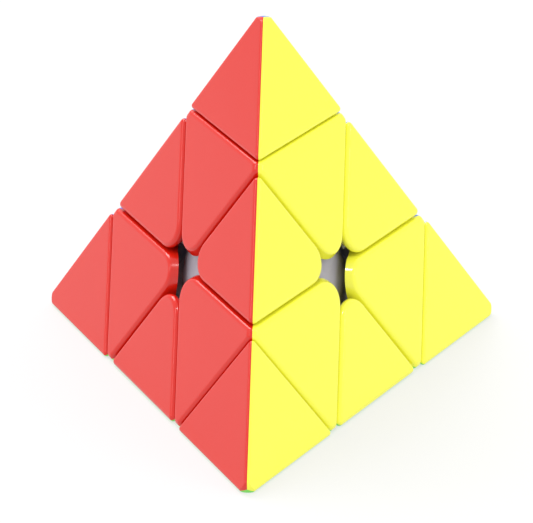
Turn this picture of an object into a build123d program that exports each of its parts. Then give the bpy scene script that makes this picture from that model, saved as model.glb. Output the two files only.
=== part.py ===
from build123d import *
import os
from math import cos, radians, sin, sqrt

# Driving dimensions, in millimetres and degrees.
# The frame's origin is the centre of the core, where the four turning axes meet, with +Z up
# through the top corner. The puzzle stands on its face opposite that corner.

# Overall shape
EDGE_LENGTH = 98.0        # between the sharp corners of the four-sided pyramid
CORNER_RADIUS = 4.0       # ball that rounds each corner off
NECK_WIDTH = 0.5          # strip of a corner piece between its tip and an edge piece

# Gaps
PIECE_GAP = 0.30          # between pieces that pass each other
TIP_GAP = 0.24            # between a tip and its corner piece
FIT_CLEARANCE = 0.05      # radial, round shafts, pegs and washers
SEAT_CLEARANCE = 0.02     # between parts that are screwed or glued together

# Coloured shells
SHELL_DEPTH = 4.5         # of the coloured shells, measured square to their face
TIP_SHELL_DEPTH = 3.0
OUTLINE_ROUND = 1.0       # round of the outer edges of edge pieces
AXIAL_OUTLINE_ROUND = 0.9
NECK_ROUND = 1.5          # of a corner piece where the pyramid's edges cross it
TIP_OUTLINE_ROUND = 0.75
EDGE_HOLE_CORNER = 5.0    # corner of an edge piece beside the hole in the middle of a face
AXIAL_HOLE_CORNER = 4.7   # the same corner of a corner piece

# Mechanism
CORE_RADIUS = 16.6
CORE_WALL = 2.2
BOSS_RADIUS = 3.6         # of the core's screw bosses
BOSS_LENGTH = 8.0
FOOT_THICKNESS = 1.5      # of the edge pieces' feet, which run on the core
FOOT_ANGLE = 84.0         # between a turning axis and the rim of the feet it carries
FOOT_RIM_GAP = 1.4        # degrees between the rims of feet that pass each other
STEM_ANGLE = 22.0         # between a turning axis and the wall of its hub's stem
WINDOW_ANGLE = 25.0       # of the opening behind each face's middle, seen from the centre

# Screws, springs and washers on the four arms
SCREW_RADIUS = 1.5
SCREW_GRIP = 7.0          # length of thread in the core
HUB_FLOOR = 2.8           # thickness of the hub under its spring
SPRING_LENGTH = 4.2
SPRING_RADIUS = 2.35      # to the middle of the wire
SPRING_WIRE = 0.6
SPRING_TURNS = 4
WASHER_RADIUS = 3.1
WASHER_THICKNESS = 0.6
HEAD_RADIUS = 2.7
HEAD_HEIGHT = 2.2
SLOT_WIDTH = 0.8
SLOT_DEPTH = 1.1
WELL_RADIUS = 3.4         # of the hollow in the hub that holds spring, screw and tip peg
PEG_CLEARANCE = 0.8       # between the screw's head and the end of the tip's peg
FLANGE_RADIUS = 3.95      # of the snap rim at the end of that peg
FLANGE_HEIGHT = 1.5

# Worked out from the driving dimensions
FACE_DISTANCE = EDGE_LENGTH / sqrt(24)
CORNER_DISTANCE = 3 * FACE_DISTANCE
EDGE_SLOPE = sqrt(2 / 3)  # cosine of the angle between a big edge and the axis through its corner
THIRD = EDGE_LENGTH / 3
LAYER_CUT = CORNER_DISTANCE - EDGE_SLOPE * (2 * THIRD - NECK_WIDTH / 2)
TIP_CUT = CORNER_DISTANCE - EDGE_SLOPE * (THIRD - NECK_WIDTH / 2)
FOOT_INNER = CORE_RADIUS + PIECE_GAP
FOOT_OUTER = FOOT_INNER + FOOT_THICKNESS
HUB_INNER = FOOT_OUTER + PIECE_GAP
SPRING_SEAT = FOOT_INNER + HUB_FLOOR
WASHER_SEAT = SPRING_SEAT + SPRING_LENGTH
HEAD_SEAT = WASHER_SEAT + WASHER_THICKNESS
PEG_END = HEAD_SEAT + HEAD_HEIGHT + PEG_CLEARANCE
REACH = 4 * EDGE_LENGTH   # larger than the whole puzzle, for cutting blocks

CENTRE = Vector(0, 0, 0)
AXES = {
    "T": Vector(0, 0, 1),
    "F": Vector(0, -2 * sqrt(2) / 3, -1 / 3),
    "L": Vector(-sqrt(2 / 3), sqrt(2) / 3, -1 / 3),
    "R": Vector(sqrt(2 / 3), sqrt(2) / 3, -1 / 3),
}
# Each face is named by its colour and lies opposite one corner.
FACES = {"T": "green", "F": "blue", "L": "yellow", "R": "red"}
EDGES = ["TF", "TR", "TL", "FR", "LF", "RL"]


def others(names):
    """The axes that are not among the given ones."""
    return [name for name in AXES if name not in names]


def keep(solid, normal, distance):
    """The part of a solid where the distance along a normal is at most the given one."""
    return solid.split(Plane(origin=normal * distance, z_dir=normal), keep=Keep.BOTTOM)


def block(limits):
    """A convex block bounded by planes, each an outward normal and its distance."""
    solid = Solid.make_box(REACH, REACH, REACH, Plane((-REACH / 2, -REACH / 2, -REACH / 2)))
    for normal, distance in limits:
        solid = keep(solid, normal, distance)
    return solid


def on_axis(name, solid):
    """A solid drawn along +Z, set on a turning axis."""
    return Plane(origin=CENTRE, z_dir=AXES[name]).location * solid


def rod(radius, start, end):
    """A cylinder along +Z between two distances from the centre."""
    return Solid.make_cylinder(radius, end - start, Plane((0, 0, start)))


def zone(direction, inner, outer, start, end):
    """The part of a spherical shell between two angles from a direction."""
    def at(radius, angle):
        return Vector(radius * sin(radians(angle)), 0, radius * cos(radians(angle)))
    middle = (start + end) / 2
    outline = [
        Edge.make_three_point_arc(at(inner, start), at(inner, middle), at(inner, end)),
        Edge.make_line(at(inner, end), at(outer, end)),
        Edge.make_three_point_arc(at(outer, end), at(outer, middle), at(outer, start)),
        Edge.make_line(at(outer, start), at(inner, start)),
    ]
    shell = Solid.revolve(Face(Wire(outline)), 360, Axis.Z)
    return Plane(origin=CENTRE, z_dir=direction).location * shell


def lies_on(point, normal, distance):
    return abs(point.dot(normal) - distance) < 1e-4


def edges_between(solid, first, second):
    """The solid's straight edges where two groups of planes meet."""
    found = []
    for edge in solid.edges():
        middle = edge @ 0.5
        on_first = [plane for plane in first if lies_on(middle, *plane)]
        on_second = [plane for plane in second if lies_on(middle, *plane)]
        if on_first and on_second and len(set(on_first + on_second)) > 1:
            found.append(edge)
    return found


def outer_planes(names):
    """The pyramid's faces that lie opposite the named corners."""
    return [(AXES[name] * -1, FACE_DISTANCE) for name in names]


def wedge(name, start, end):
    """All that lies between two angles from a turning axis, for cutting."""
    return zone(AXES[name], CORE_RADIUS / 2, REACH, start, end)


def windows(names):
    """Cones that keep the space behind the named faces' middles open."""
    return [wedge(name, 180 - WINDOW_ANGLE, 180) for name in names]


def outline_edges(solid, faces):
    """Every edge of the flat outer faces, each named once."""
    found = []
    for face in solid.faces():
        if any(lies_on(face.center(), *plane) for plane in faces):
            found += [edge for edge in face.edges() if not any(edge.is_same(e) for e in found)]
    return found


def edge_body(name):
    """The outer form of an edge piece."""
    side = LAYER_CUT + PIECE_GAP / 2
    faces = outer_planes(others(name))
    cuts = [(AXES[end] * -1, -side) for end in name]
    body = block(cuts + faces)
    body = body.fillet(EDGE_HOLE_CORNER, edges_between(body, cuts, cuts))
    return body.fillet(OUTLINE_ROUND, outline_edges(body, faces))


def axial_limits(name):
    """The planes between a corner piece and its neighbours: three edge pieces and its tip."""
    cuts = [(AXES[other], LAYER_CUT - PIECE_GAP / 2) for other in others(name)]
    top = (AXES[name], TIP_CUT - TIP_GAP / 2)
    return cuts, top


def axial_body(name):
    """The outer form of a corner piece."""
    faces = outer_planes(others(name))
    cuts, top = axial_limits(name)
    body = block(faces + [(AXES[name] * -1, -LAYER_CUT / 2)])
    body = body.fillet(NECK_ROUND, edges_between(body, faces, faces))
    for normal, distance in cuts + [top]:
        body = keep(body, normal, distance)
    body = body.fillet(AXIAL_HOLE_CORNER, edges_between(body, cuts, cuts))
    return body.fillet(AXIAL_OUTLINE_ROUND, outline_edges(body, faces))


def tip_body(name):
    """The outer form of a tip, with its corner rounded by a ball."""
    base = TIP_CUT + TIP_GAP / 2
    faces = outer_planes(others(name))
    body = block(faces + [(AXES[name] * -1, -base)])
    body = body.fillet(TIP_OUTLINE_ROUND, outline_edges(body, faces))
    ball_centre = CORNER_DISTANCE - CORNER_RADIUS * sqrt(3)
    ball = Solid.make_sphere(CORNER_RADIUS, Plane(AXES[name] * ball_centre))
    beyond = on_axis(name, rod(THIRD, ball_centre + CORNER_RADIUS / sqrt(3), REACH))
    return (body - (beyond - ball)).solid()


def shells(body, names, depth):
    """The coloured shells of a piece, one per face, mitred along the pyramid's edges."""
    made = []
    for face in names:
        shell = keep(body, AXES[face], depth - FACE_DISTANCE)
        for other in names:
            if other != face:
                shell = keep(shell, (AXES[face] - AXES[other]).normalized(), 0)
        made.append(shell - Solid.make_sphere(HUB_INNER))
    return made


def inside_shells(names, depth):
    """The planes at the back of the coloured shells."""
    return [(AXES[name] * -1, FACE_DISTANCE - depth) for name in names]


def edge_foot(name):
    """An edge piece's inner part, with the foot that runs on the core under its two hubs."""
    side = LAYER_CUT + PIECE_GAP / 2
    free = others(name)
    rim = FOOT_ANGLE - FOOT_RIM_GAP / 2
    wall = STEM_ANGLE + FOOT_RIM_GAP
    foot = zone(AXES[name[0]], FOOT_INNER, FOOT_OUTER, wall, rim)
    for start, end in ((0, wall), (rim, 180)):
        foot = foot - wedge(name[1], start, end)
    cuts = [(AXES[end] * -1, -side) for end in name]
    root = (FOOT_INNER + FOOT_OUTER) / 2
    foot = foot.fuse(block(cuts + inside_shells(free, SHELL_DEPTH)) - Solid.make_sphere(root))
    for end in free:
        foot = foot - wedge(end, 0, FOOT_ANGLE + FOOT_RIM_GAP / 2)
    for window in windows(free):
        foot = foot - window
    return foot


def hub(name):
    """A corner piece's inner part, with the stem that a screw and spring hold on the core."""
    cuts, top = axial_limits(name)
    bottom = (AXES[name] * -1, -LAYER_CUT - PIECE_GAP / 2)
    free = others(name)
    body = block(cuts + inside_shells(free, SHELL_DEPTH) + [top, bottom])
    body = body - Solid.make_sphere(HUB_INNER)
    body = body.fuse(zone(AXES[name], FOOT_INNER, HUB_INNER + HUB_FLOOR, 0, STEM_ANGLE))
    for window in windows(free):
        body = body - window
    hollow = [
        rod(SCREW_RADIUS + FIT_CLEARANCE, 0, SPRING_SEAT),
        rod(WELL_RADIUS, SPRING_SEAT, TIP_CUT),
        rod(FLANGE_RADIUS + FIT_CLEARANCE, PEG_END - TIP_GAP, PEG_END + FLANGE_HEIGHT + TIP_GAP),
    ]
    for part in hollow:
        body = body - on_axis(name, part)
    return body


def tip_peg(name):
    """A tip's inner part, with the peg that snaps into the hub."""
    base = TIP_CUT + TIP_GAP / 2
    cone = block(inside_shells(others(name), TIP_SHELL_DEPTH) + [(AXES[name] * -1, -base)])
    peg = rod(WELL_RADIUS - FIT_CLEARANCE, PEG_END, base + TIP_SHELL_DEPTH)
    flange = rod(FLANGE_RADIUS, PEG_END, PEG_END + FLANGE_HEIGHT)
    return cone.fuse(on_axis(name, peg.fuse(flange)))


def core():
    """The hollow ball with four threaded bosses."""
    ball = Solid.make_sphere(CORE_RADIUS) - Solid.make_sphere(CORE_RADIUS - CORE_WALL)
    boss = rod(BOSS_RADIUS, CORE_RADIUS - BOSS_LENGTH, CORE_RADIUS - CORE_WALL / 2)
    for name in AXES:
        ball = ball.fuse(on_axis(name, boss))
    for name in AXES:
        ball = ball - on_axis(name, rod(SCREW_RADIUS + SEAT_CLEARANCE, 0, REACH))
    return ball


def screw():
    """One screw along +Z, with a cross slot in its head."""
    shank = rod(SCREW_RADIUS, CORE_RADIUS - SCREW_GRIP, HEAD_SEAT)
    shape = shank.fuse(rod(HEAD_RADIUS, HEAD_SEAT, HEAD_SEAT + HEAD_HEIGHT))
    top = HEAD_SEAT + HEAD_HEIGHT - SLOT_DEPTH / 2
    for length, width in ((HEAD_RADIUS * 1.3, SLOT_WIDTH), (SLOT_WIDTH, HEAD_RADIUS * 1.3)):
        shape = shape - Pos(0, 0, top) * Box(length, width, SLOT_DEPTH)
    return shape


def spring():
    """One compression spring along +Z between the hub's floor and the washer."""
    start = SPRING_SEAT + SPRING_WIRE / 2 + SEAT_CLEARANCE
    height = SPRING_LENGTH - SPRING_WIRE - 2 * SEAT_CLEARANCE
    path = Edge.make_helix(height / SPRING_TURNS, height, SPRING_RADIUS, (0, 0, start))
    section = Plane(origin=path @ 0, z_dir=path % 0) * Circle(SPRING_WIRE / 2)
    return sweep(section, path)


def washer():
    """One washer along +Z between the spring and the screw's head."""
    start = WASHER_SEAT
    end = WASHER_SEAT + WASHER_THICKNESS - SEAT_CLEARANCE
    return rod(WASHER_RADIUS, start, end) - rod(SCREW_RADIUS + FIT_CLEARANCE, start, end)


def seat(first, second):
    """The turn that carries corner T onto one corner and corner F onto another."""
    across = AXES[first].cross(AXES[second]).normalized()
    return Plane(origin=CENTRE, x_dir=across, z_dir=AXES[first]).location


def colour_of(shell):
    """The colour of the face that a shell belongs to."""
    return FACES[max(FACES, key=lambda name: -shell.center().dot(AXES[name]))]


def save(node, *shapes):
    """Write a sub-part's solids as one STEP file."""
    solids = [solid for shape in shapes for solid in shape.solids()]
    export_step(solids[0] if len(solids) == 1 else Compound(solids), f"parts/{node}.step")


def save_piece(piece, place, inner_name, inner, coloured):
    """Write one piece's inner part and its coloured shells, turned into its place."""
    save(f"{piece}_{inner_name}", place * inner)
    for shell in coloured:
        placed = place * shell
        save(f"{piece}_{colour_of(placed)}", placed)


def build():
    os.makedirs("parts", exist_ok=True)
    save("core", core())
    for node, solid in (("core_screws", screw()), ("core_springs", spring()), ("core_washers", washer())):
        save(node, *[seat(name, others(name)[0]) * solid for name in AXES])
    faces = others("T")
    corner = (hub("T"), shells(axial_body("T"), faces, SHELL_DEPTH))
    tip = (tip_peg("T"), shells(tip_body("T"), faces, TIP_SHELL_DEPTH))
    edge = (edge_foot("TF"), shells(edge_body("TF"), others("TF"), SHELL_DEPTH))
    for name in AXES:
        place = seat(name, others(name)[0])
        save_piece(f"axial_{name}", place, "hub", *corner)
        save_piece(f"tip_{name}", place, "peg", *tip)
    for first, second in EDGES:
        save_piece(f"edge_{first}{second}", seat(first, second), "foot", *edge)


build()
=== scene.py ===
import math

import bpy
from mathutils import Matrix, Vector


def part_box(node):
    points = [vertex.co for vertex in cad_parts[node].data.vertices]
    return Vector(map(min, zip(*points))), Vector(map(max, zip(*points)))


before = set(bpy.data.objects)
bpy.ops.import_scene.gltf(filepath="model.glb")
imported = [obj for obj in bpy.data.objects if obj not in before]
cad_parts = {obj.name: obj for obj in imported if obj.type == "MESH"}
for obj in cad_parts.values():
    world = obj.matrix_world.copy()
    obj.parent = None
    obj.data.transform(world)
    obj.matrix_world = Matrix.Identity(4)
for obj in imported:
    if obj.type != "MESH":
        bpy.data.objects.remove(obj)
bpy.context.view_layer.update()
bpy.ops.object.select_all(action="DESELECT")

# The table top and the camera.
# The puzzle stands with one of its faces flat on a plain white table, which glows a little so that
# the shells' colours hardly tint it. The core's centre is the frame's origin, and the camera looks
# at it from a little above.
table_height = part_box("tip_F_green")[0].z
table_size = 4.0
table_glow = 0.58
camera_distance = 0.6655
camera_turn = math.radians(3.38)
camera_rise = math.radians(25.79)
camera_lens = 220.1
camera_shift = (0.0055, 0.0318)


def look_at_core(thing, place):
    """Puts a camera or a lamp in its place, pointed at the middle of the core."""
    thing.location = place
    thing.rotation_euler = (-Vector(place)).to_track_quat("-Z", "Y").to_euler()


def from_core(distance, turn, rise):
    """A place at a distance from the core, turned from the front and risen from the level."""
    level = distance * math.cos(rise)
    return (level * math.sin(turn), -level * math.cos(turn), distance * math.sin(rise))


bpy.ops.object.camera_add()
camera = bpy.context.object
camera.data.lens = camera_lens
camera.data.shift_x, camera.data.shift_y = camera_shift
camera.data.clip_end = 20
look_at_core(camera, from_core(camera_distance, camera_turn, camera_rise))
bpy.context.scene.camera = camera


class Shade:
    """A value in a material's nodes that sums and products can be written with."""

    def __init__(self, tree, socket=None):
        self.tree = tree
        self.socket = socket

    def node(self, kind, settings=None, sockets=None, out=0):
        """A node of one type, its settings made first and then its sockets filled or linked."""
        made = self.tree.nodes.new(kind)
        for name, value in (settings or {}).items():
            setattr(made, name, value)
        for name, value in (sockets or {}).items():
            if isinstance(value, Shade):
                self.tree.links.new(value.socket, made.inputs[name])
            else:
                made.inputs[name].default_value = value
        return Shade(self.tree, made.outputs[out] if made.outputs else None)

    def maths(self, operation, first, second):
        return self.node("ShaderNodeMath", {"operation": operation}, {0: first, 1: second})

    def __add__(self, other):
        return self.maths("ADD", self, other)

    def __radd__(self, other):
        return self.maths("ADD", other, self)

    def __mul__(self, other):
        return self.maths("MULTIPLY", self, other)

    def __rmul__(self, other):
        return self.maths("MULTIPLY", other, self)


def new_material(name):
    """An empty material and the handle that its nodes are made with."""
    material = bpy.data.materials.new(name)
    material.use_nodes = True
    material.node_tree.nodes.clear()
    return material, Shade(material.node_tree)


def finish_material(material, nodes, shader):
    """Links a material's shader to its output."""
    nodes.node("ShaderNodeOutputMaterial", sockets={"Surface": shader})
    return material


table_white, nodes = new_material("table_white")
place = nodes.node("ShaderNodeTexCoord", out=3)
grain = nodes.node("ShaderNodeTexNoise", sockets={"Vector": place, "Scale": 180, "Detail": 3})
shader = nodes.node("ShaderNodeBsdfPrincipled", sockets={
    "Base Color": (0.30, 0.30, 0.30, 1),
    "Roughness": 0.55 + grain * 0.1,
    "Specular IOR Level": 0.1,
    "Emission Color": (1, 1, 1, 1),
    "Emission Strength": table_glow,
})
finish_material(table_white, nodes, shader)

bpy.ops.mesh.primitive_plane_add(size=table_size, location=(0, 0, table_height))
table = bpy.context.object
table.name = "table"
bpy.ops.object.transform_apply(location=True)
table.data.materials.append(table_white)
table.select_set(False)

# The studio light.
# A bright white room lights every side evenly. A large soft panel behind the puzzle throws the
# soft shadow, two narrow ones light the rounded outlines from the sides, and a small one high in
# front puts the white glints on the corners beside the holes.
room_brightness = 0.92
studio = bpy.data.worlds.new("studio")
bpy.context.scene.world = studio
studio.use_nodes = True
studio.node_tree.nodes["Background"].inputs["Color"].default_value = (1, 1, 1, 1)
studio.node_tree.nodes["Background"].inputs["Strength"].default_value = room_brightness
bpy.context.scene.view_settings.view_transform = "Standard"


def add_panel(name, size, power, distance, turn, rise):
    """A soft panel lamp at a turn and rise in degrees, pointed at the core."""
    bpy.ops.object.light_add(type="AREA")
    panel = bpy.context.object
    panel.name = name
    panel.data.shape = "RECTANGLE"
    panel.data.size, panel.data.size_y = size
    panel.data.energy = power
    look_at_core(panel, from_core(distance, math.radians(turn), math.radians(rise)))
    panel.select_set(False)


add_panel("key_panel", (0.8, 0.8), 11, 1.6, -138, 50)
add_panel("left_strip", (0.12, 0.7), 1.4, 1.4, -62, 38)
add_panel("right_strip", (0.12, 0.7), 1.4, 1.4, 78, 30)
add_panel("front_panel", (0.16, 0.16), 4.0, 1.4, 2, 68)

# The coloured shells.
# Each face of each piece is a shell of hard, through-coloured plastic with a fine satin finish
# from its mould. The shells of one piece meet in a mitre along the pyramid's edges.


def moulded_plastic(name, colour, roughness, coat):
    """Through-coloured plastic: faint flow marks, a satin gloss and the mould's fine skin."""
    material, nodes = new_material(name)
    place = nodes.node("ShaderNodeTexCoord", out=3)
    flow = nodes.node("ShaderNodeTexNoise", sockets={"Vector": place, "Scale": 45, "Detail": 2})
    skin = nodes.node("ShaderNodeTexNoise", sockets={"Vector": place, "Scale": 2600, "Detail": 2})
    deep = tuple(c * 0.96 for c in colour)
    tint = nodes.node("ShaderNodeMix", {"data_type": "RGBA"}, {
        0: flow, 6: (*deep, 1), 7: (*colour, 1)}, out=2)
    bump = nodes.node("ShaderNodeBump", sockets={
        "Height": skin, "Strength": 0.12, "Distance": 0.00002})
    shader = nodes.node("ShaderNodeBsdfPrincipled", sockets={
        "Base Color": tint,
        "Roughness": roughness - 0.03 + skin * 0.06,
        "Normal": bump,
        "IOR": 1.53,
        "Coat Weight": coat,
        "Coat Roughness": 0.08,
    })
    return finish_material(material, nodes, shader)


shell_roughness = 0.17
shell_coat = 0.12
shell_colours = {
    "red": (0.69, 0.014, 0.005),
    "yellow": (0.96, 0.95, 0.065),
    "green": (0.18, 0.72, 0.08),
    "blue": (0.02, 0.16, 0.70),
}
shell_plastics = {
    name: moulded_plastic(f"{name}_shell", colour, shell_roughness, shell_coat)
    for name, colour in shell_colours.items()
}
for node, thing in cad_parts.items():
    colour = node.rsplit("_", 1)[-1]
    if colour in shell_plastics:
        thing.data.materials.clear()
        thing.data.materials.append(shell_plastics[colour])

# The inner parts.
# Hubs, tip pegs and the blocks behind the edge pieces' shells are moulded in one pale grey plastic,
# and the ball in the middle in a darker grey.
inner_grey = moulded_plastic("inner_grey", (0.62, 0.61, 0.65), 0.42, 0)
ball_grey = moulded_plastic("ball_grey", (0.44, 0.42, 0.48), 0.30, 0)
for node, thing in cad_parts.items():
    if node.rsplit("_", 1)[-1] in ("hub", "peg", "foot"):
        thing.data.materials.clear()
        thing.data.materials.append(inner_grey)
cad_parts["core"].data.materials.clear()
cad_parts["core"].data.materials.append(ball_grey)

# The screws, springs and washers.
# Each hub is held by a zinc-plated screw, with a spring of bright wire and a steel washer.
plated_steel, nodes = new_material("plated_steel")
place = nodes.node("ShaderNodeTexCoord", out=3)
grain = nodes.node("ShaderNodeTexNoise", sockets={"Vector": place, "Scale": 900, "Detail": 3})
shader = nodes.node("ShaderNodeBsdfPrincipled", sockets={
    "Base Color": (0.62, 0.62, 0.64, 1),
    "Metallic": 1.0,
    "Roughness": 0.25 + grain * 0.15,
})
finish_material(plated_steel, nodes, shader)
for node in ("core_screws", "core_springs", "core_washers"):
    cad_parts[node].data.materials.clear()
    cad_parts[node].data.materials.append(plated_steel)
